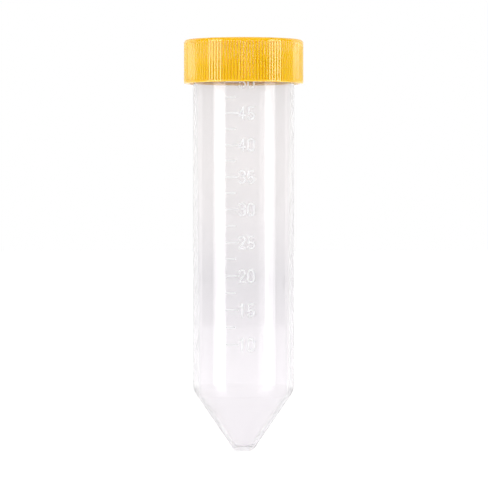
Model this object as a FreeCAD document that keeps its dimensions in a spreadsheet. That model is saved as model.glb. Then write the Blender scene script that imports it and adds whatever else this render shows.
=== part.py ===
import FreeCAD, Part
import math
import operator
import os

import Sketcher

# Conical laboratory tube of 50 ml with a ribbed screw cap, in millimetres.
#
# +Z runs up the tube's axis and the origin is the lowest point of the cone's tip. The scale faces -Y.
# Azimuths are degrees about +Z measured from -Y, positive towards +X, as a reader in front sees them.

SIZES = {
    # the tube's outside
    "barrel_radius": 14.4,
    "rim_level": 114.7,
    "cone_half_angle": 34.3,
    "tip_corner_radius": 2.6,
    "tip_rounding": 2.5,
    "barrel_rounding": 5.0,
    # its bore, which narrows downwards so that the moulding leaves its core
    "bore_mouth_radius": 13.6,
    "bore_foot_radius": 12.6,
    "bore_rounding": 4.0,
    "cone_wall": 1.2,
    "tip_wall": 1.7,
    "inner_tip_rounding": 1.5,
    "rim_rounding": 0.3,
    # the stop ring that parts the barrel from the neck, inside the cap's mouth and above the top numerals
    "ring_radius": 14.8,
    "ring_width": 0.55,
    "ring_inset": 1.95,
    "ring_slope": 0.15,
    # the screw thread shared by neck and cap
    "thread_pitch": 3.2,
    "thread_level": 107.9,
    "thread_sink": 0.15,
    "neck_thread_radius": 15.2,
    "neck_thread_turns": 1.5,
    "neck_thread_root": 1.5,
    "neck_thread_crest": 0.8,
    "cap_thread_radius": 14.75,
    "cap_thread_turns": 1.25,
    "cap_thread_root": 1.3,
    "cap_thread_crest": 0.6,
    # the cap
    "cap_radius": 17.0,
    "cap_top_wall": 1.5,
    "skirt_radius": 15.55,
    "skirt_length": 10.2,
    "mouth_chamfer": 0.4,
    "shoulder_rounding": 0.8,
    "lip_rounding": 0.2,
    "lip_width": 0.5,
    "groove_depth": 0.28,
    "groove_mouth": 0.36,
    "groove_floor": 0.14,
    "groove_headroom": 1.0,
    "groove_overshoot": 0.3,
    "groove_count": 120,
    "gate_radius": 1.6,
    "gate_depth": 0.2,
    # the seal disc, and the bead that keeps it in the cap
    "liner_thickness": 0.8,
    "liner_radius": 15.05,
    "liner_rounding": 0.1,
    "bead_radius": 14.75,
    "bead_gap": 0.1,
    "bead_flat": 0.2,
    # the raised scale
    "relief_rise": 0.17,
    "relief_sink": 0.05,
    "line_overshoot": 1.0,
    "line_width": 0.32,
    "line_start": -20.5,
    "long_line_end": -5.5,
    "short_line_end": -9.0,
    "numeral_left": -1.25,
    "numeral_advance": 2.5,
    "numeral_width": 1.6,
    "numeral_rise": 3.35,
    "stroke_width": 0.42,
}

FIRST_MARK_ML, LAST_MARK_ML, LONG_STEP_ML, SHORT_STEP_ML = 10, 50, 5, 2.5
MM3_PER_ML = 1000


class Size:
    """A number with the expression that gives it from the sheet, so that arithmetic keeps both."""

    def __init__(self, value, text):
        self.value, self.text = value, text

    @staticmethod
    def of(thing):
        return thing if isinstance(thing, Size) else Size(thing, f"{thing}")

    def joined(self, other, sign, work):
        other = Size.of(other)
        return Size(work(self.value, other.value), f"({self.text} {sign} {other.text})")

    def __add__(self, other):
        return self.joined(other, "+", operator.add)

    def __sub__(self, other):
        return self.joined(other, "-", operator.sub)

    def __mul__(self, other):
        return self.joined(other, "*", operator.mul)

    def __truediv__(self, other):
        return self.joined(other, "/", operator.truediv)

    def __neg__(self):
        return self * -1


doc = FreeCAD.newDocument("conical_tube")
sheet = doc.addObject("Spreadsheet::Sheet", "sizes")
for row, (alias, number) in enumerate(SIZES.items(), start=1):
    sheet.set(f"A{row}", alias)
    sheet.set(f"B{row}", f"{number}")
    sheet.setAlias(f"B{row}", alias)
doc.recompute()


def size(alias):
    return Size(float(sheet.get(alias)), f"sizes.{alias}")


def tangent(angle):
    return Size(math.tan(math.radians(angle.value)), f"tan({angle.text})")


def cosine(angle):
    return Size(math.cos(math.radians(angle.value)), f"cos({angle.text})")


def bind(thing, **properties):
    """Gives each property its number and ties it to the sheet."""
    for name, amount in properties.items():
        setattr(thing, name, amount.value)
        thing.setExpression(name, amount.text)


# Levels and radii that follow from the sheet.
ZERO = Size(0.0, "0")
BARREL = size("barrel_radius")
RIM = size("rim_level")
CONE_SLOPE = tangent(size("cone_half_angle"))
CONE_TOP = (BARREL - size("tip_corner_radius")) / CONE_SLOPE
CONE_INSET = size("cone_wall") / cosine(size("cone_half_angle"))
BORE_FOOT = (size("bore_foot_radius") + CONE_INSET - size("tip_corner_radius")) / CONE_SLOPE
INNER_TIP_RADIUS = size("tip_corner_radius") + size("tip_wall") * CONE_SLOPE - CONE_INSET
CAP_CEILING = RIM + size("liner_thickness")
CAP_TOP = CAP_CEILING + size("cap_top_wall")
CAP_BASE = RIM - size("skirt_length")
RING_LOW = CAP_BASE + size("ring_inset")
RING_HIGH = RING_LOW + size("ring_width")


# ---------------------------------------------------------------- sketches and features


def new_body(label):
    body = doc.addObject("PartDesign::Body", label)
    body.Label = label
    body.Placement = FreeCAD.Placement()
    return body


def origin_part(body, role):
    return next(part for part in body.Origin.OriginFeatures if part.Role == role)


def new_sketch(body, name, plane="XZ_Plane"):
    sketch = body.newObject("Sketcher::SketchObject", name)
    sketch.AttachmentSupport = [(origin_part(body, plane), "")]
    sketch.MapMode = "FlatFace"
    return sketch


def hold(sketch, kind, *places, amount):
    """Adds a constraint whose number is tied to the sheet."""
    index = sketch.addConstraint(Sketcher.Constraint(kind, *places, amount.value))
    sketch.setExpression(f"Constraints[{index}]", amount.text)


def outline(sketch, corners):
    """Draws a closed outline of straight sides, each corner held at its place from the sketch's origin."""
    corners = [(Size.of(across), Size.of(up)) for across, up in corners]
    points = [FreeCAD.Vector(across.value, up.value, 0) for across, up in corners]
    for start, end in zip(points, points[1:] + points[:1]):
        sketch.addGeometry(Part.LineSegment(start, end))
    for side, (across, up) in enumerate(corners):
        following = (side + 1) % len(corners)
        sketch.addConstraint(Sketcher.Constraint("Coincident", side, 2, following, 1))
        hold(sketch, "DistanceX", -1, 1, side, 1, amount=across)
        hold(sketch, "DistanceY", -1, 1, side, 1, amount=up)


def revolve(body, name, corners):
    """Turns a half-section about the body's axis."""
    sketch = new_sketch(body, f"{name}_section")
    outline(sketch, corners)
    feature = body.newObject("PartDesign::Revolution", name)
    feature.Profile = sketch
    feature.ReferenceAxis = (sketch, ["V_Axis"])
    feature.Angle = 360
    doc.recompute()
    return feature


def rings_at(feature, radius, level):
    """The names of the circular edges with this radius at this level."""
    return [
        f"Edge{number}"
        for number, edge in enumerate(feature.Shape.Edges, start=1)
        if isinstance(edge.Curve, Part.Circle)
        and abs(edge.Curve.Radius - radius.value) < 1e-4
        and abs(edge.Curve.Center.z - level.value) < 1e-4
    ]


def round_ring(body, name, radius, level, rounding):
    """Rounds the edge that runs round the axis at this radius and level."""
    base = body.Tip
    edges = rings_at(base, radius, level)
    if not edges:
        raise ValueError(f"{name}: no edge of radius {radius.value} at {level.value}")
    feature = body.newObject("PartDesign::Fillet", name)
    feature.Base = (base, edges)
    bind(feature, Radius=rounding)
    doc.recompute()


def add_thread(body, name, wall, crest_radius, root_width, crest_width, turns, side):
    """Winds a right-handed ridge from the wall to its crest, starting at +X for side 1 and at -X for side -1."""
    level = size("thread_level")
    half_root, half_crest = root_width / 2, crest_width / 2
    sketch = new_sketch(body, f"{name}_section")
    outline(
        sketch,
        [
            (wall * side, level - half_root),
            (crest_radius * side, level - half_crest),
            (crest_radius * side, level + half_crest),
            (wall * side, level + half_root),
        ],
    )
    helix = body.newObject("PartDesign::AdditiveHelix", name)
    helix.Profile = sketch
    helix.ReferenceAxis = (sketch, ["V_Axis"])
    helix.Mode = "pitch-turns-angle"
    bind(helix, Pitch=size("thread_pitch"), Turns=turns)
    helix.LeftHanded = False
    doc.recompute()


# ---------------------------------------------------------------- the tube


def build_tube():
    """Barrel, cone, bore, stop ring and neck thread: one moulding."""
    body = new_body("tube_body")
    revolve(
        body,
        "tube_wall",
        [
            (ZERO, ZERO),
            (size("tip_corner_radius"), ZERO),
            (BARREL, CONE_TOP),
            (BARREL, RING_LOW),
            (size("ring_radius"), RING_LOW + size("ring_slope")),
            (size("ring_radius"), RING_HIGH - size("ring_slope")),
            (BARREL, RING_HIGH),
            (BARREL, RIM),
            (size("bore_mouth_radius"), RIM),
            (size("bore_foot_radius"), BORE_FOOT),
            (INNER_TIP_RADIUS, size("tip_wall")),
            (ZERO, size("tip_wall")),
        ],
    )
    round_ring(body, "tip_edge", size("tip_corner_radius"), ZERO, size("tip_rounding"))
    round_ring(body, "barrel_edge", BARREL, CONE_TOP, size("barrel_rounding"))
    round_ring(body, "bore_edge", size("bore_foot_radius"), BORE_FOOT, size("bore_rounding"))
    round_ring(body, "inner_tip_edge", INNER_TIP_RADIUS, size("tip_wall"), size("inner_tip_rounding"))
    round_ring(body, "rim_outer_edge", BARREL, RIM, size("rim_rounding"))
    round_ring(body, "rim_inner_edge", size("bore_mouth_radius"), RIM, size("rim_rounding"))
    add_thread(
        body,
        "neck_thread",
        BARREL - size("thread_sink"),
        size("neck_thread_radius"),
        size("neck_thread_root"),
        size("neck_thread_crest"),
        size("neck_thread_turns"),
        side=1,
    )
    return body


# ---------------------------------------------------------------- the raised scale


def level_of(volume_ml):
    """The height to which this volume fills the bore: a cone frustum below and the tapered barrel above."""
    foot, mouth = size("bore_foot_radius").value, size("bore_mouth_radius").value
    tip, floor, foot_level = INNER_TIP_RADIUS.value, size("tip_wall").value, BORE_FOOT.value
    cone = math.pi * (foot_level - floor) / 3 * (tip**2 + tip * foot + foot**2)
    taper = (mouth - foot) / (RIM.value - foot_level)
    cubed = foot**3 + 3 * taper * (volume_ml * MM3_PER_ML - cone) / math.pi
    return foot_level + (cubed ** (1 / 3) - foot) / taper


def marks(step_ml):
    count = round((LAST_MARK_ML - FIRST_MARK_ML) / step_ml)
    return [FIRST_MARK_ML + step_ml * index for index in range(count + 1)]


def build_relief_skin(name):
    """The thin sleeve round the barrel that every raised mark is cut from."""
    outer = doc.addObject("Part::Cylinder", f"{name}_outside")
    inner = doc.addObject("Part::Cylinder", f"{name}_inside")
    bind(outer, Radius=BARREL + size("relief_rise"), Height=RIM)
    bind(inner, Radius=BARREL - size("relief_sink"), Height=RIM)
    skin = doc.addObject("Part::Cut", name)
    skin.Base, skin.Tool = outer, inner
    return skin


def add_marks(label, blocks):
    """Keeps what the blocks share with the relief skin as one sub-part of separate raised marks."""
    marks_object = doc.addObject("Part::Common", label)
    marks_object.Label = label
    marks_object.Base, marks_object.Tool = build_relief_skin(f"{label}_skin"), blocks
    doc.recompute()
    return marks_object


def build_ticks():
    """A long line at each 5 ml and a short one halfway between, left of the numerals."""
    sectors = []
    for volume in marks(SHORT_STEP_ML):
        is_long = volume % LONG_STEP_ML == 0
        start, end = size("line_start"), size("long_line_end" if is_long else "short_line_end")
        sector = doc.addObject("Part::Cylinder", "line_sector")
        bind(sector, Radius=BARREL + size("line_overshoot"), Height=size("line_width"), Angle=end - start)
        middle = level_of(volume)
        sector.Placement = FreeCAD.Placement(
            FreeCAD.Vector(0, 0, middle - size("line_width").value / 2),
            FreeCAD.Rotation(FreeCAD.Vector(0, 0, 1), start.value - 90),
        )
        sectors.append(sector)
    blocks = doc.addObject("Part::Compound", "line_sectors")
    blocks.Links = sectors
    return add_marks("scale_ticks", blocks)


def arc(centre, radius, start, end):
    """An arc's edge in the drawing plane, running clockwise from start to end degrees."""
    degrees = (start, (start + end) / 2, end)
    across, up = centre
    return Part.Arc(
        *(
            FreeCAD.Vector(across + radius * math.cos(a), up + radius * math.sin(a), 0)
            for a in map(math.radians, degrees)
        )
    ).toShape()


def line(*points):
    """Straight edges through the points."""
    places = [FreeCAD.Vector(across, up, 0) for across, up in points]
    return [Part.LineSegment(a, b).toShape() for a, b in zip(places, places[1:])]


def strokes(numeral, width, height):
    """The middle lines of a plain numeral, as lists of edges drawn end to end."""
    half = width / 2
    bowl = (height - width) / 2  # the radius that the lower bowls of 3 and 5 have room for
    top, low = (half, height - half), (half, bowl)
    if numeral == "0":
        ring = [arc(top, half, 180, 0), *line((width, height - half), (width, half))]
        ring += [arc((half, half), half, 0, -180), *line((0, half), (0, height - half))]
        return [ring]
    if numeral == "1":
        return [line((half * 0.4, height * 0.8), (half, height), (half, 0))]
    if numeral == "2":
        knee = (half + half * math.cos(math.radians(-35)), height - half - half * math.sin(math.radians(35)))
        return [[arc(top, half, 170, -35), *line(knee, (0, 0), (width, 0))]]
    if numeral == "3":
        return [[arc(top, half, 160, -90), arc(low, bowl, 90, -155)]]
    if numeral == "4":
        stem, bar = width * 0.72, height * 0.3
        return [line((stem, height), (0, bar), (stem, bar), (stem, height)), line((width, bar), (stem, bar), (stem, 0))]
    if numeral == "5":
        waist = (half + bowl * math.cos(math.radians(140)), bowl + bowl * math.sin(math.radians(140)))
        corner = (width * 0.12, height)
        return [[*line((width * 0.95, height), corner, waist), arc(low, bowl, 140, -155)]]
    raise ValueError(f"no strokes for {numeral}")


def thickened(edges, width):
    """The face covered by a round pen of this width along the edges."""
    wire = Part.Wire(edges)
    offsets = (width / 2, -width / 2) if wire.isClosed() else (width / 2,)
    return Part.makeFace([wire.makeOffset2D(offset) for offset in offsets], "Part::FaceMakerBullseye")


def build_numerals():
    """The volume beside each long line, as raised strokes that follow the barrel's curve."""
    width, height = size("numeral_width").value, size("numeral_rise").value
    stroke, advance = size("stroke_width").value, size("numeral_advance").value
    reach = BARREL.value
    prisms = []
    for volume in marks(LONG_STEP_ML):
        for place, numeral in enumerate(f"{volume:g}"):
            at = FreeCAD.Vector(
                size("numeral_left").value + place * advance, -reach - 1, level_of(volume) - height / 2
            )
            solids = []
            for edges in strokes(numeral, width, height):
                face = thickened(edges, stroke)
                face.rotate(FreeCAD.Vector(), FreeCAD.Vector(1, 0, 0), 90)
                face.translate(at)
                solids.append(face.extrude(FreeCAD.Vector(0, reach, 0)))
            prisms.append(solids[0].fuse(solids[1:]).removeSplitter() if solids[1:] else solids[0])
    blocks = doc.addObject("Part::Feature", "numeral_prisms")
    blocks.Shape = Part.makeCompound(prisms)
    blocks.Placement = FreeCAD.Placement()
    return add_marks("scale_numerals", blocks)


# ---------------------------------------------------------------- the cap and its seal


def build_cap():
    """A flat top and a skirt with fine grooves outside and a thread inside: one moulding."""
    body = new_body("screw_cap")
    outside, skirt = size("cap_radius"), size("skirt_radius")
    bead_step = skirt - size("bead_radius")
    bead_top = RIM - size("bead_gap")
    bead_low = bead_top - size("bead_flat")
    revolve(
        body,
        "cap_wall",
        [
            (ZERO, CAP_CEILING),
            (skirt, CAP_CEILING),
            (skirt, bead_top),
            (size("bead_radius"), bead_top),
            (size("bead_radius"), bead_low),
            (skirt, bead_low - bead_step / 2),
            (skirt, CAP_BASE + size("mouth_chamfer")),
            (skirt + size("mouth_chamfer"), CAP_BASE),
            (outside, CAP_BASE),
            (outside, CAP_TOP),
            (size("gate_radius"), CAP_TOP),
            (size("gate_radius") - size("gate_depth"), CAP_TOP - size("gate_depth")),
            (ZERO, CAP_TOP - size("gate_depth")),
        ],
    )
    round_ring(body, "shoulder", outside, CAP_TOP, size("shoulder_rounding"))
    round_ring(body, "lip_edge", outside, CAP_BASE, size("lip_rounding"))
    add_thread(
        body,
        "cap_thread",
        skirt + size("thread_sink"),
        size("cap_thread_radius"),
        size("cap_thread_root"),
        size("cap_thread_crest"),
        size("cap_thread_turns"),
        side=-1,
    )
    cut_grooves(body)
    return body


def cut_grooves(body):
    """Cuts one tapered groove in the skirt and repeats it all round, so that a rib stands between two."""
    outside, overshoot = size("cap_radius"), size("groove_overshoot")
    floor_at = outside - size("groove_depth")
    half_mouth, half_floor = size("groove_mouth") / 2, size("groove_floor") / 2
    flare = (half_mouth - half_floor) * overshoot / size("groove_depth")
    sketch = new_sketch(body, "groove_section", "XY_Plane")
    sketch.setExpression("AttachmentOffset.Base.z", (CAP_BASE + size("lip_width")).text)
    outline(
        sketch,
        [
            (floor_at, -half_floor),
            (outside + overshoot, -(half_mouth + flare)),
            (outside + overshoot, half_mouth + flare),
            (floor_at, half_floor),
        ],
    )
    groove = body.newObject("PartDesign::Pocket", "groove")
    groove.Profile = sketch
    groove.Reversed = True
    bind(groove, Length=CAP_TOP - size("groove_headroom") - CAP_BASE - size("lip_width"))
    doc.recompute()
    grooves = body.newObject("PartDesign::PolarPattern", "grooves")
    grooves.Originals = [groove]
    grooves.Axis = (sketch, ["N_Axis"])
    grooves.Angle = 360
    grooves.setExpression("Occurrences", size("groove_count").text)
    body.Tip = grooves
    doc.recompute()


def build_liner():
    """The seal disc between the tube's rim and the cap's ceiling."""
    body = new_body("cap_liner")
    revolve(
        body,
        "disc",
        [
            (ZERO, RIM),
            (size("liner_radius"), RIM),
            (size("liner_radius"), CAP_CEILING),
            (ZERO, CAP_CEILING),
        ],
    )
    round_ring(body, "disc_low_edge", size("liner_radius"), RIM, size("liner_rounding"))
    round_ring(body, "disc_high_edge", size("liner_radius"), CAP_CEILING, size("liner_rounding"))
    return body


# ---------------------------------------------------------------- checks and files


def check(parts):
    """Stops on a failed feature, or on a sub-part whose shape is empty or not valid."""
    doc.recompute()
    for thing in doc.Objects:
        if "Invalid" in thing.State or "Error" in thing.State:
            raise RuntimeError(f"{thing.Label} failed: {thing.State}")
    for part in parts:
        if part.Shape.isNull() or not part.Shape.isValid() or not part.Shape.Solids:
            raise RuntimeError(f"{part.Label} has no valid solid")
        print(f"{part.Label}: {len(part.Shape.Solids)} solids, {part.Shape.Volume:.1f} mm3")


def main():
    parts = [build_tube(), build_ticks(), build_numerals(), build_cap(), build_liner()]
    check(parts)
    os.makedirs("parts", exist_ok=True)
    for part in parts:
        part.Shape.exportStep(f"parts/{part.Label}.step")
    for volume in marks(LONG_STEP_ML):
        print(f"{volume:g} ml fills to {level_of(volume):.2f} mm")


main()
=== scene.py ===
"""Builds and dresses a 50 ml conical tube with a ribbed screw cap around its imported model.

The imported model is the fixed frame: +Z runs up the tube's axis, the origin is the tip of the
cone, and the scale faces -Y. Sizes of the tube, cap and seal are in millimetres, as on the
drawing, sizes in the finishes and the studio are in metres, and every mesh is in metres.
"""

import logging
import math
from dataclasses import dataclass
from enum import Enum
from typing import Callable, Iterator

import bmesh
import bpy
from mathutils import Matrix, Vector


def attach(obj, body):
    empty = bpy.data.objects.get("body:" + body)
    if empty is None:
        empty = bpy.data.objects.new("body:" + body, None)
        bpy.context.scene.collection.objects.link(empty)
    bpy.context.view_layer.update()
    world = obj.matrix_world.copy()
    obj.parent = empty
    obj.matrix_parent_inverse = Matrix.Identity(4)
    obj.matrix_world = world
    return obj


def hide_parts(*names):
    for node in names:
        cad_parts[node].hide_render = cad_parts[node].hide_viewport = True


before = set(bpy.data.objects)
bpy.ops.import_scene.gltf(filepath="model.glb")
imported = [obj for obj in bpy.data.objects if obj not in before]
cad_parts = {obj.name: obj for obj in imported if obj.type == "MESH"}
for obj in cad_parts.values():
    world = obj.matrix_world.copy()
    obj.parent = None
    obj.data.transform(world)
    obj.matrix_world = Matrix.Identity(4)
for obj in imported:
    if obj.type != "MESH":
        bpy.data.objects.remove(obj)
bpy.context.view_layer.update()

MM = 0.001
MERGE_DISTANCE = 1e-7
PICK_REACH = 0.002 * MM
ROUND_PROFILE = 0.5
WHITE = (1.0, 1.0, 1.0, 1.0)

# The part of a noise pattern's range that drives a number or a colour, with most of its values.
SPREAD_BAND = (0.3, 0.7)
TINT_BAND = (0.35, 0.65)

Colour = tuple[float, float, float]

log = logging.getLogger("tube")


class Body(Enum):
    """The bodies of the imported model."""

    TUBE = "tube"
    CAP = "cap"
    LINER = "liner"


class Side(Enum):
    """Which wall a thread stands on: outside a neck, or inside a skirt."""

    OUTSIDE = 1
    INSIDE = -1


# ---------------------------------------------------------------- modelling by hand


@dataclass(frozen=True)
class Corner:
    """One corner of a half-section, in millimetres.

    Args:
        across: Distance from the axis.
        up: Height above the tip.
        rounding: Radius of the arc that takes the corner's place, or 0 for a sharp one.
        segments: Straight pieces in that arc.
    """

    across: float
    up: float
    rounding: float = 0.0
    segments: int = 1

    def place(self) -> Vector:
        """Gives the corner's place in metres, in the plane of the section."""
        return Vector((self.across, 0.0, self.up)) * MM


def turning(before: Vector, at: Vector, after: Vector) -> float:
    """Gives the angle, in radians, by which a line turns at a corner."""
    return (at - before).angle(after - at)


def start_at(name: str, place: Vector) -> bpy.types.Object:
    """Starts a piece as one vertex, a tiny plane merged at its centre.

    Args:
        name: The piece's name.
        place: Where the vertex goes, in metres.

    Returns:
        The piece, active and in edit mode with its vertex selected.
    """
    bpy.ops.object.select_all(action="DESELECT")
    bpy.ops.mesh.primitive_plane_add(size=MM, location=place)
    piece = bpy.context.active_object
    piece.name = piece.data.name = name
    bpy.ops.object.transform_apply(location=True, rotation=True, scale=True)
    bpy.ops.object.mode_set(mode="EDIT")
    bpy.ops.mesh.merge(type="CENTER")
    return piece


def pick_vertices(piece: bpy.types.Object, wanted: Callable[[Vector], bool]) -> None:
    """Selects the vertices whose place passes a test, and nothing else.

    Args:
        piece: The piece in edit mode.
        wanted: The test of a place in metres.
    """
    bpy.ops.mesh.select_all(action="DESELECT")
    shape = bmesh.from_edit_mesh(piece.data)
    for vertex in shape.verts:
        if wanted(vertex.co):
            vertex.select_set(True)
    shape.select_flush(True)
    bmesh.update_edit_mesh(piece.data)


def near(place: Vector) -> Callable[[Vector], bool]:
    """Gives a test that only the places next to this one pass."""
    return lambda spot: (spot - place).length < PICK_REACH


def with_guards(corners: list[Corner], gap: float) -> Iterator[Corner]:
    """Adds a plain corner a little way off each arc, so that long walls keep their own shading.

    Args:
        corners: The section's corners in order.
        gap: Distance of the guard from the end of the arc, in millimetres.

    Yields:
        The corners with their guards, where the side is long enough for one.
    """
    for index, corner in enumerate(corners):
        if not corner.rounding:
            yield corner
            continue
        before, after = corners[index - 1], corners[(index + 1) % len(corners)]
        turn = turning(before.place(), corner.place(), after.place())
        reach = corner.rounding * math.tan(turn / 2) + gap
        for neighbour, is_first in ((before, True), (after, False)):
            side = Vector((neighbour.across - corner.across, neighbour.up - corner.up))
            if not is_first:
                yield corner
            if side.length > 2 * reach + gap:
                offset = side.normalized() * reach
                yield Corner(corner.across + offset.x, corner.up + offset.y)


def draw_section(name: str, corners: list[Corner], closed: bool, gap: float) -> bpy.types.Object:
    """Draws a half-section corner by corner and rounds the corners that have a rounding.

    Args:
        name: The piece's name.
        corners: The corners in order.
        closed: Whether the last corner joins the first.
        gap: Distance of the guard corners from each arc, in millimetres.

    Returns:
        The piece, in edit mode with its whole section selected.
    """
    points = list(with_guards(corners, gap))
    piece = start_at(name, points[0].place())
    for last, corner in zip(points, points[1:]):
        step = corner.place() - last.place()
        bpy.ops.mesh.extrude_region_move(TRANSFORM_OT_translate={"value": step})
    if closed:
        ends = (near(points[0].place()), near(points[-1].place()))
        pick_vertices(piece, lambda spot: any(test(spot) for test in ends))
        bpy.ops.mesh.edge_face_add()
    for index, corner in enumerate(points):
        if corner.rounding:
            after = points[(index + 1) % len(points)]
            turn = turning(points[index - 1].place(), corner.place(), after.place())
            pick_vertices(piece, near(corner.place()))
            bpy.ops.mesh.bevel(
                affect="VERTICES",
                offset=corner.rounding * MM * math.tan(turn / 2),
                segments=corner.segments,
                profile=ROUND_PROFILE,
            )
    bpy.ops.mesh.select_all(action="SELECT")
    return piece


def turn_about_axis(name: str, corners: list[Corner], steps: int, gap: float) -> bpy.types.Object:
    """Spins a half-section that starts and ends on the axis into a closed solid.

    Args:
        name: The piece's name.
        corners: The section's corners in order.
        steps: Columns in a full turn.
        gap: Distance of the guard corners from each arc, in millimetres.

    Returns:
        The piece, in edit mode, closed and with its faces outwards.
    """
    piece = draw_section(name, corners, closed=False, gap=gap)
    bpy.ops.mesh.spin(steps=steps, angle=math.tau, center=(0, 0, 0), axis=(0, 0, 1), dupli=False)
    bpy.ops.mesh.select_all(action="SELECT")
    bpy.ops.mesh.remove_doubles(threshold=MERGE_DISTANCE)
    bpy.ops.mesh.normals_make_consistent(inside=False)
    return piece


def pull_to(radius: float, from_radius: float) -> None:
    """Moves the selected vertices in or out, so that what lies at one radius comes to another."""
    factor = radius / from_radius
    bpy.ops.transform.resize(value=(factor, factor, 1.0), center_override=(0, 0, 0))


def select_only(piece: bpy.types.Object) -> None:
    """Makes a piece the active object and the only selected one."""
    bpy.ops.object.select_all(action="DESELECT")
    piece.select_set(True)
    bpy.context.view_layer.objects.active = piece


def apply_modifier(piece: bpy.types.Object, kind: str, **settings: object) -> None:
    """Adds a modifier to a piece, sets it and applies it.

    Args:
        piece: The piece, which becomes the only selected object.
        kind: The modifier's type.
        **settings: Its settings by name.
    """
    select_only(piece)
    bpy.ops.object.modifier_add(type=kind)
    modifier = piece.modifiers[-1]
    for setting, amount in settings.items():
        setattr(modifier, setting, amount)
    bpy.ops.object.modifier_apply(modifier=modifier.name)


def finish_shape(piece: bpy.types.Object, sharp_above: float) -> None:
    """Leaves edit mode and shades the piece smooth, but for its sharp edges.

    Args:
        piece: The piece.
        sharp_above: Angle in degrees above which an edge is sharp.
    """
    if bpy.context.mode != "OBJECT":
        bpy.ops.object.mode_set(mode="OBJECT")
    select_only(piece)
    bpy.ops.object.shade_smooth_by_angle(angle=math.radians(sharp_above))


def dress(piece: bpy.types.Object, material: bpy.types.Material) -> None:
    """Gives a piece its material, in place of any that it has.

    Args:
        piece: The piece.
        material: Its material.
    """
    if piece.data.materials:
        for index in range(len(piece.data.materials)):
            piece.data.materials[index] = material
    else:
        piece.data.materials.append(material)


def report(piece: bpy.types.Object) -> None:
    """Logs a finished piece with its size in millimetres and its count of faces.

    Args:
        piece: The piece.
    """
    places = [vertex.co / MM for vertex in piece.data.vertices]
    span = [max(p[i] for p in places) - min(p[i] for p in places) for i in range(3)]
    log.info("%s: %.2f x %.2f x %.2f mm, %d faces", piece.name, *span, len(piece.data.polygons))


@dataclass(frozen=True)
class Thread:
    """A right-handed ridge wound on a wall, with ends that run out into it, in millimetres.

    Args:
        wall: Radius at which the ridge starts, a little inside the wall.
        crest: Radius of its crest.
        root_width: Width at the wall.
        crest_width: Width at the crest.
        turns: Length in turns.
        side: Which wall it stands on.
        pitch: Rise in a turn.
        level: Height of its middle at the start.
        rounding: Radius of the two edges of the crest.
        rounding_segments: Straight pieces in each of those edges.
        steps_per_turn: Steps that it is wound in.
        run_out: Steps over which each end comes down to the wall.
        plane_reach: How far a vertex may lie off the plane of its step.
    """

    wall: float
    crest: float
    root_width: float
    crest_width: float
    turns: float
    side: Side
    pitch: float = 3.2
    level: float = 107.9
    rounding: float = 0.2
    rounding_segments: int = 3
    steps_per_turn: int = 96
    run_out: int = 9
    plane_reach: float = 0.05

    def wind(self, name: str) -> bpy.types.Object:
        """Draws the ridge's section, winds it up the axis and lets both ends run out.

        Args:
            name: The ridge's name.

        Returns:
            The ridge, closed, in object mode.
        """
        low, high = self.level - self.crest_width / 2, self.level + self.crest_width / 2
        section = [
            Corner(self.wall, self.level - self.root_width / 2),
            Corner(self.crest, low, self.rounding, self.rounding_segments),
            Corner(self.crest, high, self.rounding, self.rounding_segments),
            Corner(self.wall, self.level + self.root_width / 2),
        ]
        ridge = draw_section(name, section, closed=True, gap=self.crest_width)
        if self.side is Side.INSIDE:
            bpy.ops.transform.resize(value=(-1, 1, 1), center_override=(0, 0, 0))
        bpy.ops.object.mode_set(mode="OBJECT")
        steps = round(self.turns * self.steps_per_turn)
        apply_modifier(
            ridge,
            "SCREW",
            axis="Z",
            angle=self.turns * math.tau,
            screw_offset=self.turns * self.pitch * MM,
            steps=steps,
            render_steps=steps,
            use_merge_vertices=False,
        )
        bpy.ops.object.mode_set(mode="EDIT")
        bpy.ops.mesh.select_all(action="DESELECT")
        bpy.ops.mesh.select_non_manifold(extend=False)
        bpy.ops.mesh.edge_face_add()
        self.taper_ends(ridge, steps)
        bpy.ops.mesh.select_all(action="SELECT")
        bpy.ops.mesh.normals_make_consistent(inside=False)
        bpy.ops.object.mode_set(mode="OBJECT")
        return ridge

    def taper_ends(self, ridge: bpy.types.Object, steps: int) -> None:
        """Lowers the crest towards the wall over the last steps at each end.

        Args:
            ridge: The wound ridge in edit mode.
            steps: Steps in its whole length.
        """
        for index in range(self.run_out):
            share = 0.5 - 0.5 * math.cos(math.pi * (index + 0.5) / self.run_out)
            lowered = self.wall + (self.crest - self.wall) * share
            for step in (index, steps - index):
                self.pick_crest(ridge, step)
                pull_to(lowered, self.crest)

    def pick_crest(self, ridge: bpy.types.Object, step: int) -> None:
        """Selects the crest of the section at one step of the winding.

        Args:
            ridge: The wound ridge in edit mode.
            step: The step, counted from the low end.
        """
        turn = step / self.steps_per_turn
        start = 0.0 if self.side is Side.OUTSIDE else math.pi
        heading = start + turn * math.tau
        level = (self.level + turn * self.pitch) * MM
        direction = Vector((math.cos(heading), math.sin(heading), 0.0))
        sideways = Vector((-direction.y, direction.x, 0.0))
        middle = (self.wall + self.crest) / 2 * MM

        def on_crest(spot: Vector) -> bool:
            """Tells whether a place lies in this step's plane and past the ridge's middle."""
            out = spot.dot(direction)
            return (
                out > 0
                and abs(spot.dot(sideways)) < self.plane_reach * MM
                and abs(spot.z - level) < self.root_width * MM
                and (out - middle) * self.side.value > 0
            )

        pick_vertices(ridge, on_crest)

    def join_to(self, piece: bpy.types.Object, name: str) -> None:
        """Winds the ridge and makes it one moulding with a piece.

        Args:
            piece: The piece whose wall it stands on, in edit mode.
            name: The ridge's name while it is a piece of its own.
        """
        bpy.ops.object.mode_set(mode="OBJECT")
        ridge = self.wind(name)
        apply_modifier(piece, "BOOLEAN", operation="UNION", solver="EXACT", object=ridge)
        bpy.data.objects.remove(ridge)


# ---------------------------------------------------------------- finishes


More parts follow.
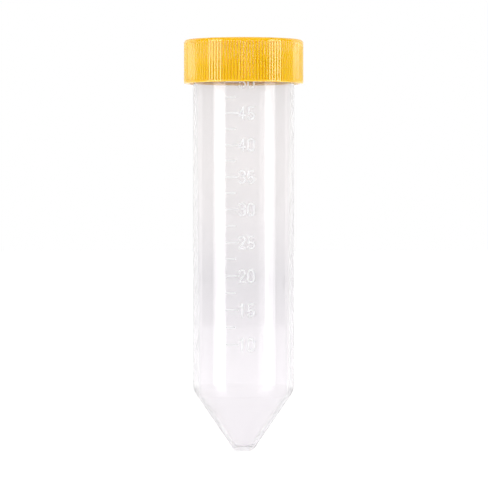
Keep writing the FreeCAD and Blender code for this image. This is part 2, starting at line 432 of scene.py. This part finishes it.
class Graph:
    """A material's node graph, built node by node."""

    def __init__(self, name: str) -> None:
        """Starts a material with a Principled shader as its surface.

        Args:
            name: The material's name.
        """
        self.material = bpy.data.materials.new(name)
        self.material.use_nodes = True
        self.tree = self.material.node_tree
        self.tree.nodes.clear()
        self.shader = self.add("ShaderNodeBsdfPrincipled")
        output = self.add("ShaderNodeOutputMaterial")
        self.link(self.shader, "BSDF", output, "Surface")

    def add(
        self, kind: str, inputs: dict[str | int, object] | None = None, **settings: object
    ) -> bpy.types.Node:
        """Adds a node.

        Args:
            kind: The node's type.
            inputs: Plain values of its sockets, by name or number.
            **settings: Its own settings by name.

        Returns:
            The node.
        """
        node = self.tree.nodes.new(kind)
        for setting, amount in settings.items():
            setattr(node, setting, amount)
        for socket, amount in (inputs or {}).items():
            node.inputs[socket].default_value = amount
        return node

    def link(
        self, source: bpy.types.Node, output: str, target: bpy.types.Node, socket: str | int
    ) -> None:
        """Joins one node's output to another's input."""
        self.tree.links.new(source.outputs[output], target.inputs[socket])

    def noise(
        self,
        scale: float,
        stretch: tuple[float, float, float] = (1.0, 1.0, 1.0),
        detail: float = 3.0,
    ) -> bpy.types.Node:
        """Adds a noise pattern laid out in the object's own metres.

        Args:
            scale: Waves in a metre.
            stretch: Share of that scale along each axis.
            detail: Finer layers in the pattern.

        Returns:
            The noise node.
        """
        place = self.add("ShaderNodeTexCoord")
        mapping = self.add("ShaderNodeMapping", {"Scale": stretch})
        noise = self.add("ShaderNodeTexNoise", {"Scale": scale, "Detail": detail})
        self.link(place, "Object", mapping, "Vector")
        self.link(mapping, "Vector", noise, "Vector")
        return noise

    def spread(self, noise: bpy.types.Node, socket: str, low: float, high: float) -> None:
        """Drives one of the shader's numbers by a pattern.

        Args:
            noise: The pattern.
            socket: The number's socket.
            low: The number at the pattern's low end.
            high: The number at its high end.
        """
        from_min, from_max = SPREAD_BAND
        span = self.add(
            "ShaderNodeMapRange",
            {"From Min": from_min, "From Max": from_max, "To Min": low, "To Max": high},
        )
        self.link(noise, "Fac", span, "Value")
        self.link(span, "Result", self.shader, socket)

    def height_share(self, low: float, high: float) -> bpy.types.Node:
        """Adds a number that goes softly from 0 at one height to 1 at another.

        Args:
            low: The height of its 0, in metres.
            high: The height of its 1, in metres.

        Returns:
            The node that gives the number.
        """
        place = self.add("ShaderNodeTexCoord")
        parts = self.add("ShaderNodeSeparateXYZ")
        share = self.add(
            "ShaderNodeMapRange",
            {"From Min": low, "From Max": high},
            interpolation_type="SMOOTHSTEP",
        )
        self.link(place, "Object", parts, "Vector")
        self.link(parts, "Z", share, "Value")
        return share

    def fade(self, share: bpy.types.Node, socket: str, at_zero: float, at_one: float) -> None:
        """Drives one of the shader's numbers by a share.

        Args:
            share: The share.
            socket: The number's socket.
            at_zero: The number where the share is 0.
            at_one: The number where it is 1.
        """
        span = self.add("ShaderNodeMapRange", {"To Min": at_zero, "To Max": at_one})
        self.link(share, "Result", span, "Value")
        self.link(span, "Result", self.shader, socket)

    def paint_shade_by_share(
        self, share: bpy.types.Node, noise: bpy.types.Node, mottle: float, colours: list[Colour]
    ) -> None:
        """Paints shade and light into the base colour by a share that a pattern blurs a little.

        Args:
            share: The share.
            noise: The pattern.
            mottle: How far the pattern moves the share.
            colours: The colours, evenly spaced from the share's 0 to its 1.
        """
        # The sockets of a multiply-add are 0 for the value, 1 for its factor and 2 for what it
        # is added to.
        blurred = self.add("ShaderNodeMath", {1: mottle}, operation="MULTIPLY_ADD")
        self.link(noise, "Fac", blurred, 0)
        self.link(share, "Result", blurred, 2)
        ramp = self.add("ShaderNodeValToRGB")
        elements = ramp.color_ramp.elements
        last = len(colours) - 1
        for index in range(1, last):
            elements.new(index / last)
        for element, colour in zip(elements, colours):
            element.color = (*colour, 1.0)
        self.link(blurred, "Value", ramp, "Fac")
        self.link(ramp, "Color", self.shader, "Base Color")

    def tint(self, noise: bpy.types.Node, low: Colour, high: Colour) -> None:
        """Drives the base colour by a pattern.

        Args:
            noise: The pattern.
            low: The colour at the pattern's low end.
            high: The colour at its high end.
        """
        ramp = self.add("ShaderNodeValToRGB")
        for element, position in zip(ramp.color_ramp.elements, TINT_BAND):
            element.position = position
        for element, colour in zip(ramp.color_ramp.elements, (low, high)):
            element.color = (*colour, 1.0)
        self.link(noise, "Fac", ramp, "Fac")
        self.link(ramp, "Color", self.shader, "Base Color")

    def bump(self, noise: bpy.types.Node, height: float) -> None:
        """Raises the surface by a pattern.

        Args:
            noise: The pattern.
            height: Height of its waves in metres.
        """
        bump = self.add("ShaderNodeBump", {"Strength": 1.0, "Distance": height})
        self.link(noise, "Fac", bump, "Height")
        self.link(bump, "Normal", self.shader, "Normal")


@dataclass(frozen=True)
class ClearPlastic:
    """Clear, faintly milky polypropylene with the soft waves of its moulding, and painted shade
    and light in its base colour that change with height.

    Args:
        foot: Its tint low on the wall, lighter as painted light.
        middle: Its tint half-way up, darker as painted shade.
        neck: Its tint high on the wall, lighter as painted light.
        wall_low: Height of the lowest tint.
        wall_high: Height of the highest tint.
        mottle: How far the waves move the tints.
        index: Its refractive index.
        clear: Share of the light that it lets through.
        barrel_gloss: Roughness of the barrel.
        cone_gloss: Roughness of the hazier cone.
        haze_low: Height at which the haze starts to clear.
        haze_high: Height at which it has cleared.
        flow_scale: Waves in a metre.
        flow_stretch: Share of that scale along each axis.
        flow_detail: Finer layers in the waves.
        flow_height: Height of the waves.
    """

    # Painted shade and light: the middle tint is darker and the foot and neck tints lighter, for
    # how the studio lights each height of the wall.
    foot: Colour = (0.924, 0.905, 0.924)
    middle: Colour = (0.845, 0.831, 0.845)
    neck: Colour = (0.908, 0.890, 0.892)
    wall_low: float = 0.012
    wall_high: float = 0.090
    mottle: float = 0.08
    index: float = 1.49
    clear: float = 0.92
    barrel_gloss: float = 0.03
    cone_gloss: float = 0.22
    haze_low: float = 0.012
    haze_high: float = 0.022
    flow_scale: float = 150.0
    flow_stretch: tuple[float, float, float] = (1.0, 1.0, 0.03)
    flow_detail: float = 1.0
    flow_height: float = 2e-7

    def make(self, name: str) -> bpy.types.Material:
        """Builds the material.

        Args:
            name: Its name.

        Returns:
            The material.
        """
        graph = Graph(name)
        graph.shader.inputs["IOR"].default_value = self.index
        graph.shader.inputs["Transmission Weight"].default_value = self.clear
        flow = graph.noise(self.flow_scale, self.flow_stretch, self.flow_detail)
        painted_shade_height = graph.height_share(self.wall_low, self.wall_high)
        # Painted shade and light: the base colour darkens half-way up the barrel and lightens at
        # the foot and the neck.
        graph.paint_shade_by_share(painted_shade_height, flow, self.mottle, [self.foot, self.middle, self.neck])
        off_cone = graph.height_share(self.haze_low, self.haze_high)
        graph.fade(off_cone, "Roughness", self.cone_gloss, self.barrel_gloss)
        graph.bump(flow, self.flow_height)
        return graph.material


@dataclass(frozen=True)
class FrostedRelief:
    """The whitish, fine-grained face of marks that stand up from a mould.

    Args:
        low: The darker of its two tints.
        high: The lighter one.
        index: Its refractive index.
        clear: Share of the light that it lets through.
        gloss: Its lowest and highest roughness.
        grain_scale: Grains in a metre.
        grain_height: Height of a grain.
    """

    low: Colour = (0.93, 0.93, 0.94)
    high: Colour = (0.97, 0.97, 0.98)
    index: float = 1.49
    clear: float = 0.4
    gloss: tuple[float, float] = (0.30, 0.45)
    grain_scale: float = 9000.0
    grain_height: float = 1e-5

    def make(self, name: str) -> bpy.types.Material:
        """Builds the material.

        Args:
            name: Its name.

        Returns:
            The material.
        """
        graph = Graph(name)
        graph.shader.inputs["IOR"].default_value = self.index
        graph.shader.inputs["Transmission Weight"].default_value = self.clear
        grain = graph.noise(self.grain_scale)
        graph.tint(grain, self.low, self.high)
        graph.spread(grain, "Roughness", *self.gloss)
        graph.bump(grain, self.grain_height)
        return graph.material


@dataclass(frozen=True)
class CapPlastic:
    """Yellow moulded polyethylene with a satin gloss and a little depth.

    Args:
        low: The darker of its two tints.
        high: The lighter one.
        index: Its refractive index.
        shine: Specular level, 0.5 for what the index alone gives.
        clear: Share of the light that it lets through.
        gloss: Its lowest and highest roughness.
        depth: Share of the light that scatters under the surface.
        depth_reach: How far the deepest colour scatters.
        depth_spread: Share of that reach for red, green and blue.
        cloud_scale: Clouds of tint in a metre.
        gloss_scale: Patches of gloss in a metre.
        grain_scale: Grains in a metre.
        grain_height: Height of a grain.
    """

    low: Colour = (0.81, 0.461, 0.005)
    high: Colour = (0.85, 0.481, 0.008)
    index: float = 1.54
    shine: float = 1.0
    clear: float = 0.05
    gloss: tuple[float, float] = (0.08, 0.11)
    depth: float = 0.8
    depth_reach: float = 0.002
    depth_spread: Colour = (1.0, 0.8, 0.2)
    cloud_scale: float = 260.0
    gloss_scale: float = 1400.0
    grain_scale: float = 5200.0
    grain_height: float = 1e-6

    def make(self, name: str) -> bpy.types.Material:
        """Builds the material.

        Args:
            name: Its name.

        Returns:
            The material.
        """
        graph = Graph(name)
        graph.shader.inputs["IOR"].default_value = self.index
        graph.shader.inputs["Specular IOR Level"].default_value = self.shine
        graph.shader.inputs["Transmission Weight"].default_value = self.clear
        graph.shader.inputs["Subsurface Weight"].default_value = self.depth
        graph.shader.inputs["Subsurface Scale"].default_value = self.depth_reach
        graph.shader.inputs["Subsurface Radius"].default_value = self.depth_spread
        graph.tint(graph.noise(self.cloud_scale), self.low, self.high)
        graph.spread(graph.noise(self.gloss_scale), "Roughness", *self.gloss)
        graph.bump(graph.noise(self.grain_scale), self.grain_height)
        return graph.material


@dataclass(frozen=True)
class SealFoam:
    """Dull, pale foam with fine closed cells.

    Args:
        low: The darker of its two tints.
        high: The lighter one.
        gloss: Its lowest and highest roughness.
        cell_scale: Cells in a metre.
        cell_detail: Finer layers in the cells.
        cell_height: Height of a cell.
    """

    low: Colour = (0.70, 0.69, 0.66)
    high: Colour = (0.82, 0.81, 0.78)
    gloss: tuple[float, float] = (0.6, 0.8)
    cell_scale: float = 4200.0
    cell_detail: float = 1.0
    cell_height: float = 4e-5

    def make(self, name: str) -> bpy.types.Material:
        """Builds the material.

        Args:
            name: Its name.

        Returns:
            The material.
        """
        graph = Graph(name)
        cells = graph.noise(self.cell_scale, detail=self.cell_detail)
        graph.tint(cells, self.low, self.high)
        graph.spread(cells, "Roughness", *self.gloss)
        graph.bump(cells, self.cell_height)
        return graph.material


@dataclass(frozen=True)
class StudioPaint:
    """Matt paint with hardly any mottle, which may glow as the top of a light table does.

    Args:
        low: The darker of its two tints.
        high: The lighter one.
        gloss: Its lowest and highest roughness.
        mottle_scale: Patches in a metre.
        glow: Strength of the light that it gives.
    """

    low: Colour = (0.965, 0.965, 0.965)
    high: Colour = (0.97, 0.97, 0.97)
    gloss: tuple[float, float] = (0.9, 1.0)
    mottle_scale: float = 3.0
    glow: float = 0.0

    def make(self, name: str) -> bpy.types.Material:
        """Builds the material.

        Args:
            name: Its name.

        Returns:
            The material.
        """
        graph = Graph(name)
        graph.shader.inputs["Specular IOR Level"].default_value = 0.0
        graph.shader.inputs["Emission Color"].default_value = WHITE
        graph.shader.inputs["Emission Strength"].default_value = self.glow
        mottle = graph.noise(self.mottle_scale)
        graph.tint(mottle, self.low, self.high)
        graph.spread(mottle, "Roughness", *self.gloss)
        return graph.material


# ---------------------------------------------------------------- the tube


@dataclass(frozen=True)
class Tube:
    """The clear tube: cone, barrel, stop ring, neck with its thread, and bore, in millimetres.

    Args:
        barrel: Radius of the barrel and of the neck.
        rim: Height of the rim.
        cone_half_angle: Angle of the cone's side from the axis, in degrees.
        tip: Radius of the flattened tip.
        tip_rounding: Radius of the arc from the tip to the cone.
        barrel_rounding: Radius of the arc from the cone to the barrel.
        bore_mouth: Radius of the bore at the rim.
        bore_foot: Radius of the bore at the top of its cone.
        bore_rounding: Radius of the arc from the bore's barrel to its cone.
        cone_wall: Thickness of the cone's wall, square to its side.
        tip_wall: Thickness of the tip.
        inner_tip_rounding: Radius of the arc at the foot of the bore.
        rim_rounding: Radius of the rim's two edges.
        ring: Radius of the stop ring.
        ring_low: Height of its lower side.
        ring_high: Height of its upper side.
        ring_slope: Height of the slope on each of its sides.
        gate: Radius of the gate mark under the tip.
        gate_depth: Depth of that mark.
        edge: Radius of the mark's edges.
        edge_segments: Straight pieces in each of those edges.
        arc_segments: Straight pieces in each larger arc.
        guard_gap: Distance of the guard corners from each arc.
        steps: Columns in a full turn.
        sharp_above: Angle in degrees above which an edge is sharp.
        thread: The thread on the neck.
    """

    barrel: float = 14.4
    rim: float = 114.7
    cone_half_angle: float = 34.3
    tip: float = 2.6
    tip_rounding: float = 2.5
    barrel_rounding: float = 5.0
    bore_mouth: float = 13.6
    bore_foot: float = 12.6
    bore_rounding: float = 4.0
    cone_wall: float = 1.2
    tip_wall: float = 1.7
    inner_tip_rounding: float = 1.5
    rim_rounding: float = 0.3
    ring: float = 14.8
    ring_low: float = 106.45
    ring_high: float = 107.0
    ring_slope: float = 0.15
    gate: float = 0.55
    gate_depth: float = 0.12
    edge: float = 0.03
    edge_segments: int = 2
    arc_segments: int = 10
    guard_gap: float = 0.2
    steps: int = 288
    sharp_above: float = 32.0
    thread: Thread = Thread(
        wall=14.25,
        crest=15.2,
        root_width=1.5,
        crest_width=0.8,
        turns=1.5,
        side=Side.OUTSIDE,
    )

    def section(self) -> list[Corner]:
        """Gives the half-section.

        Returns:
            The corners from the gate mark under the tip, up the outside and down the bore.
        """
        slope = math.tan(math.radians(self.cone_half_angle))
        inset = self.cone_wall / math.cos(math.radians(self.cone_half_angle))
        cone_top = (self.barrel - self.tip) / slope
        bore_foot_level = (self.bore_foot + inset - self.tip) / slope
        inner_tip = self.tip + self.tip_wall * slope - inset
        mark_floor = self.gate - self.gate_depth
        return [
            Corner(0.0, self.gate_depth),
            Corner(mark_floor, self.gate_depth, self.edge, self.edge_segments),
            Corner(self.gate, 0.0, self.edge, self.edge_segments),
            Corner(self.tip, 0.0, self.tip_rounding, self.arc_segments),
            Corner(self.barrel, cone_top, self.barrel_rounding, self.arc_segments),
            Corner(self.barrel, self.ring_low),
            Corner(self.ring, self.ring_low + self.ring_slope),
            Corner(self.ring, self.ring_high - self.ring_slope),
            Corner(self.barrel, self.ring_high),
            Corner(self.barrel, self.rim, self.rim_rounding, self.arc_segments),
            Corner(self.bore_mouth, self.rim, self.rim_rounding, self.arc_segments),
            Corner(self.bore_foot, bore_foot_level, self.bore_rounding, self.arc_segments),
            Corner(inner_tip, self.tip_wall, self.inner_tip_rounding, self.arc_segments),
            Corner(0.0, self.tip_wall),
        ]

    def build(self) -> bpy.types.Object:
        """Turns the wall, winds the thread on it and joins the two into one moulding.

        Returns:
            The tube.
        """
        tube = turn_about_axis("clear_tube", self.section(), self.steps, self.guard_gap)
        self.thread.join_to(tube, "neck_ridge")
        finish_shape(tube, self.sharp_above)
        tube.visible_shadow = False  # clear enough to throw no shadow to speak of
        return tube


@dataclass(frozen=True)
class Cap:
    """The yellow cap: flat top, finely grooved skirt, thread and bead, in millimetres.

    Args:
        radius: Radius of the skirt outside, over the ribs.
        top: Height of the flat top.
        ceiling: Height of the ceiling inside.
        base: Height of the lip.
        skirt: Radius of the skirt inside.
        chamfer: Width of the slope inside the lip.
        shoulder: Radius of the arc from the top to the skirt.
        shoulder_segments: Straight pieces in that arc.
        lip_rounding: Radius of the lip's outer edge.
        lip_segments: Straight pieces in that edge.
        bead: Radius of the bead that keeps the seal in.
        bead_low: Height of its lower side.
        bead_high: Height of its upper side.
        gate: Radius of the gate mark on top.
        gate_depth: Depth of that mark.
        edge: Radius of the small edges.
        edge_segments: Straight pieces in each of them.
        guard_gap: Distance of the guard corners from each arc.
        grooves: Grooves round the skirt.
        columns: Columns from one groove's middle to the next.
        groove_low: Height of the grooves' lower end.
        groove_high: Height of their upper end.
        groove_end: Length of the slope at each end.
        groove_depths: Depth of the column in a groove's middle, and of those beside it.
        skin: How far under the outside a vertex still counts as on it.
        sharp_above: Angle in degrees above which an edge is sharp.
        thread: The thread in the skirt.
    """

    radius: float = 17.0
    top: float = 117.0
    ceiling: float = 115.5
    base: float = 104.5
    skirt: float = 15.55
    chamfer: float = 0.4
    shoulder: float = 0.8
    shoulder_segments: int = 8
    lip_rounding: float = 0.2
    lip_segments: int = 4
    bead: float = 14.75
    bead_low: float = 114.4
    bead_high: float = 114.6
    gate: float = 1.6
    gate_depth: float = 0.2
    edge: float = 0.06
    edge_segments: int = 2
    guard_gap: float = 0.15
    grooves: int = 120
    columns: int = 10
    groove_low: float = 105.0
    groove_high: float = 116.0
    groove_end: float = 0.15
    groove_depths: tuple[float, ...] = (0.28, 0.28)
    skin: float = 0.01
    sharp_above: float = 62.0
    thread: Thread = Thread(
        wall=15.7,
        crest=14.75,
        root_width=1.3,
        crest_width=0.6,
        turns=1.25,
        side=Side.INSIDE,
    )

    def section(self) -> list[Corner]:
        """Gives the half-section.

        Returns:
            The corners from the gate mark on top, down the outside and up the inside.
        """
        slope_foot = self.bead_low - (self.skirt - self.bead) / 2
        mark_floor = self.gate - self.gate_depth
        stations = (
            self.groove_high,
            self.groove_high - self.groove_end,
            self.groove_low + self.groove_end,
            self.groove_low,
        )
        return [
            Corner(0.0, self.top - self.gate_depth),
            Corner(mark_floor, self.top - self.gate_depth, self.edge, self.edge_segments),
            Corner(self.gate, self.top, self.edge, self.edge_segments),
            Corner(self.radius, self.top, self.shoulder, self.shoulder_segments),
            *(Corner(self.radius, level) for level in stations),
            Corner(self.radius, self.base, self.lip_rounding, self.lip_segments),
            Corner(self.skirt + self.chamfer, self.base, self.edge, self.edge_segments),
            Corner(self.skirt, self.base + self.chamfer, self.edge, self.edge_segments),
            Corner(self.skirt, slope_foot),
            Corner(self.bead, self.bead_low),
            Corner(self.bead, self.bead_high),
            Corner(self.skirt, self.bead_high),
            Corner(self.skirt, self.ceiling),
            Corner(0.0, self.ceiling),
        ]

    def in_groove(self, distance: int) -> Callable[[Vector], bool]:
        """Gives a test for the outside of the skirt at one place across the grooves.

        Args:
            distance: Columns between that place and a groove's middle.

        Returns:
            The test of a place in metres.
        """
        low = (self.groove_low + self.groove_end / 2) * MM
        high = (self.groove_high - self.groove_end / 2) * MM
        outside = (self.radius - self.skin) * MM
        column = math.tau / (self.grooves * self.columns)

        def test(spot: Vector) -> bool:
            """Tells whether a place lies on such a column, between the ends of the grooves."""
            if not low < spot.z < high or math.hypot(spot.x, spot.y) < outside:
                return False
            place = round(math.atan2(spot.y, spot.x) / column) % self.columns
            return min(place, self.columns - place) == distance

        return test

    def cut_grooves(self, cap: bpy.types.Object) -> None:
        """Pulls in the columns that lie in a groove: its flat floor, with a steep wall each side.

        Args:
            cap: The spun cap in edit mode.
        """
        for distance, depth in enumerate(self.groove_depths):
            pick_vertices(cap, self.in_groove(distance))
            pull_to(self.radius - depth, self.radius)

    def build(self) -> bpy.types.Object:
        """Turns the cap, cuts its grooves, and joins the inner thread to it.

        Returns:
            The cap.
        """
        steps = self.grooves * self.columns
        cap = turn_about_axis("ribbed_cap", self.section(), steps, self.guard_gap)
        self.cut_grooves(cap)
        self.thread.join_to(cap, "skirt_ridge")
        finish_shape(cap, self.sharp_above)
        return cap


@dataclass(frozen=True)
class Seal:
    """The foam disc under the cap's ceiling, with the rim's print in it, in millimetres.

    Args:
        radius: Its radius.
        low: Height of its underside.
        high: Height of its top.
        rounding: Radius of its two edges.
        rounding_segments: Straight pieces in each of those edges.
        print_inner: Inner radius of the ring that the rim has pressed in.
        print_outer: Outer radius of that ring.
        print_depth: Depth of the ring.
        print_slope: Width of the slope on each side of it.
        edge: Radius of the ring's edges.
        edge_segments: Straight pieces in each of them.
        guard_gap: Distance of the guard corners from each arc.
        steps: Columns in a full turn.
        sharp_above: Angle in degrees above which an edge is sharp.
    """

    radius: float = 15.05
    low: float = 114.7
    high: float = 115.5
    rounding: float = 0.1
    rounding_segments: int = 3
    print_inner: float = 13.4
    print_outer: float = 14.6
    print_depth: float = 0.05
    print_slope: float = 0.12
    edge: float = 0.05
    edge_segments: int = 2
    guard_gap: float = 0.1
    steps: int = 192
    sharp_above: float = 40.0

    def section(self) -> list[Corner]:
        """Gives the half-section.

        Returns:
            The corners from the middle of the underside round to the middle of the top.
        """
        pressed = self.low + self.print_depth
        inner, outer = self.print_inner + self.print_slope, self.print_outer - self.print_slope
        return [
            Corner(0.0, self.low),
            Corner(self.print_inner, self.low, self.edge, self.edge_segments),
            Corner(inner, pressed, self.edge, self.edge_segments),
            Corner(outer, pressed, self.edge, self.edge_segments),
            Corner(self.print_outer, self.low, self.edge, self.edge_segments),
            Corner(self.radius, self.low, self.rounding, self.rounding_segments),
            Corner(self.radius, self.high, self.rounding, self.rounding_segments),
            Corner(0.0, self.high),
        ]

    def build(self) -> bpy.types.Object:
        """Turns the disc.

        Returns:
            The disc.
        """
        disc = turn_about_axis("seal_disc", self.section(), self.steps, self.guard_gap)
        finish_shape(disc, self.sharp_above)
        return disc


# ---------------------------------------------------------------- the studio


@dataclass(frozen=True)
class Softbox:
    """A tall soft light that stands on the floor and faces the tube's axis.

    Args:
        name: The light's name.
        first: Direction of one edge, in degrees from the camera's side, positive to its right.
        last: Direction of the other edge.
        radiance: How bright its face looks, where the white background is 1.
        distance: Distance from the axis in metres.
        height: Its height in metres.
    """

    name: str
    first: float
    last: float
    radiance: float
    distance: float = 0.4
    height: float = 0.26

    def build(self) -> None:
        """Sets the light up."""
        middle = math.radians((self.first + self.last) / 2)
        half = math.radians(abs(self.last - self.first) / 2)
        width = 2 * self.distance * math.tan(half)
        data = bpy.data.lights.new(self.name, "AREA")
        data.shape = "RECTANGLE"
        data.size, data.size_y = width, self.height
        data.energy = self.radiance * math.pi * width * self.height
        light = bpy.data.objects.new(self.name, data)
        bpy.context.scene.collection.objects.link(light)
        direction = Vector((math.sin(middle), -math.cos(middle), 0.0))
        light.location = direction * self.distance + Vector((0, 0, self.height / 2))
        light.rotation_euler = direction.to_track_quat("Z", "Y").to_euler()
        light.visible_camera = False


@dataclass(frozen=True)
class DimWall:
    """The unlit side of the studio behind the camera, which only shows in reflections.

    Args:
        half_angle: How far it reaches round to each side from behind the camera, in degrees.
        distance: Its distance from the axis in metres.
        height: Its height in metres.
        grey: How light its paint is.
        steps: Flat pieces that it is made of.
    """

    half_angle: float = 108.0
    distance: float = 1.7
    height: float = 3.0
    grey: float = 0.06
    steps: int = 48

    def build(self) -> None:
        """Raises the wall and hides it from all but reflections."""
        start = math.radians(self.half_angle - 90.0)  # a spin winds clockwise
        foot = Vector((math.cos(start), math.sin(start), 0.0)) * self.distance
        wall = start_at("dim_wall", foot)
        bpy.ops.mesh.extrude_region_move(TRANSFORM_OT_translate={"value": (0, 0, self.height)})
        bpy.ops.mesh.select_all(action="SELECT")
        bpy.ops.mesh.spin(
            steps=self.steps,
            angle=math.radians(2 * self.half_angle),
            center=(0, 0, 0),
            axis=(0, 0, 1),
            dupli=False,
        )
        bpy.ops.object.mode_set(mode="OBJECT")
        paint = StudioPaint((self.grey,) * 3, (self.grey,) * 3)
        wall.data.materials.append(paint.make("dim_paint"))
        wall.visible_camera = wall.visible_diffuse = wall.visible_transmission = False
        wall.visible_volume_scatter = wall.visible_shadow = False


@dataclass(frozen=True)
class Studio:
    """A pale light table, a white surround, soft lights and the camera.

    Args:
        floor_half: Half the floor's width in metres.
        table_glow: How much light the floor gives of its own, where the surround is 1.
        white: Brightness of the surround up to low_sky.
        zenith: Its brightness overhead.
        low_sky: Sine of the height at which it starts to dim.
        fill_strength: Strength of the wide soft light from the camera's side.
        fill_angle: Its angular width in degrees.
        fill_height: Its height over the horizon in degrees.
        camera_place: Where the camera stands, in metres.
        clip: The nearest and farthest that it sees, in metres.
        lens: Its focal length in millimetres.
        sensor: Its sensor's width in millimetres.
        softboxes: The tall lights at the sides.
    """

    floor_half: float = 30.0
    table_glow: float = 0.14
    white: float = 1.0
    zenith: float = 0.85
    low_sky: float = 0.15
    fill_strength: float = 0.4
    fill_angle: float = 70.0
    fill_height: float = 15.0
    camera_place: tuple[float, float, float] = (0.00011, -1.1, 0.0589)
    clip: tuple[float, float] = (0.01, 100.0)
    lens: float = 285.0
    sensor: float = 36.0
    softboxes: tuple[Softbox, ...] = (
        Softbox("left_softbox", first=-72.0, last=-41.0, radiance=2.5),
        Softbox("right_softbox", first=49.5, last=76.0, radiance=2.8),
    )

    def lay_floor(self) -> None:
        """Lays the floor under the tip."""
        bpy.ops.object.select_all(action="DESELECT")
        bpy.ops.mesh.primitive_plane_add(size=2 * self.floor_half)
        floor = bpy.context.active_object
        floor.name = floor.data.name = "floor"
        floor.data.materials.append(StudioPaint(glow=self.table_glow).make("floor_paint"))

    def surround(self) -> None:
        """Makes the world white all round, and a little dimmer overhead."""
        world = bpy.data.worlds.new("white_surround")
        bpy.context.scene.world = world
        world.use_nodes = True
        tree = world.node_tree
        direction = tree.nodes.new("ShaderNodeTexCoord")
        parts = tree.nodes.new("ShaderNodeSeparateXYZ")
        dimming = tree.nodes.new("ShaderNodeMapRange")
        dimming.inputs["From Min"].default_value = self.low_sky
        dimming.inputs["To Min"].default_value = self.white
        dimming.inputs["To Max"].default_value = self.zenith
        background = tree.nodes["Background"]
        background.inputs["Color"].default_value = WHITE
        tree.links.new(direction.outputs["Generated"], parts.inputs["Vector"])
        tree.links.new(parts.outputs["Z"], dimming.inputs["Value"])
        tree.links.new(dimming.outputs["Result"], background.inputs["Strength"])

    def light(self) -> None:
        """Sets up the softboxes, the dim wall and the wide soft fill light from the front."""
        for softbox in self.softboxes:
            softbox.build()
        DimWall().build()
        data = bpy.data.lights.new("fill", "SUN")
        data.energy = self.fill_strength
        data.angle = math.radians(self.fill_angle)
        fill = bpy.data.objects.new("fill", data)
        height = math.radians(self.fill_height)
        direction = Vector((0.0, -math.cos(height), math.sin(height)))
        fill.location = direction
        fill.rotation_euler = direction.to_track_quat("Z", "Y").to_euler()
        fill.visible_glossy = False
        bpy.context.scene.collection.objects.link(fill)

    def aim_camera(self) -> None:
        """Sets the level camera in front of the scale."""
        data = bpy.data.cameras.new("camera")
        data.lens, data.sensor_width = self.lens, self.sensor
        data.clip_start, data.clip_end = self.clip
        camera = bpy.data.objects.new("camera", data)
        bpy.context.scene.collection.objects.link(camera)
        camera.location = self.camera_place
        camera.rotation_euler = (math.radians(90), 0, 0)  # level, looking along +Y
        bpy.context.scene.camera = camera

    def build(self) -> None:
        """Sets the whole studio up."""
        self.lay_floor()
        self.surround()
        self.light()
        self.aim_camera()
        bpy.context.scene.view_settings.view_transform = "Standard"


# ---------------------------------------------------------------- the whole


def place_piece(
    piece: bpy.types.Object, node: str, body: Body, material: bpy.types.Material
) -> None:
    """Dresses a new piece, rides it on its body and lets it stand for its CAD node.

    Args:
        piece: The piece.
        node: The CAD node that it stands for.
        body: The body that it moves with.
        material: Its material.
    """
    dress(piece, material)
    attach(piece, body.value)
    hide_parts(node)
    report(piece)


def main() -> None:
    """Builds the tube, the cap and the seal, dresses the raised scale and sets up the studio."""
    logging.basicConfig(level=logging.INFO, format="%(name)s: %(message)s")
    Studio().build()
    clear = ClearPlastic().make("clear_polypropylene")
    place_piece(Tube().build(), "tube_body", Body.TUBE, clear)
    yellow = CapPlastic().make("yellow_polyethylene")
    place_piece(Cap().build(), "screw_cap", Body.CAP, yellow)
    foam = SealFoam().make("pale_foam")
    place_piece(Seal().build(), "cap_liner", Body.LINER, foam)
    frosted = FrostedRelief().make("frosted_polypropylene")
    for node in ("scale_ticks", "scale_numerals"):
        dress(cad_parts[node], frosted)
        report(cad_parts[node])


if __name__ == "__main__":
    main()
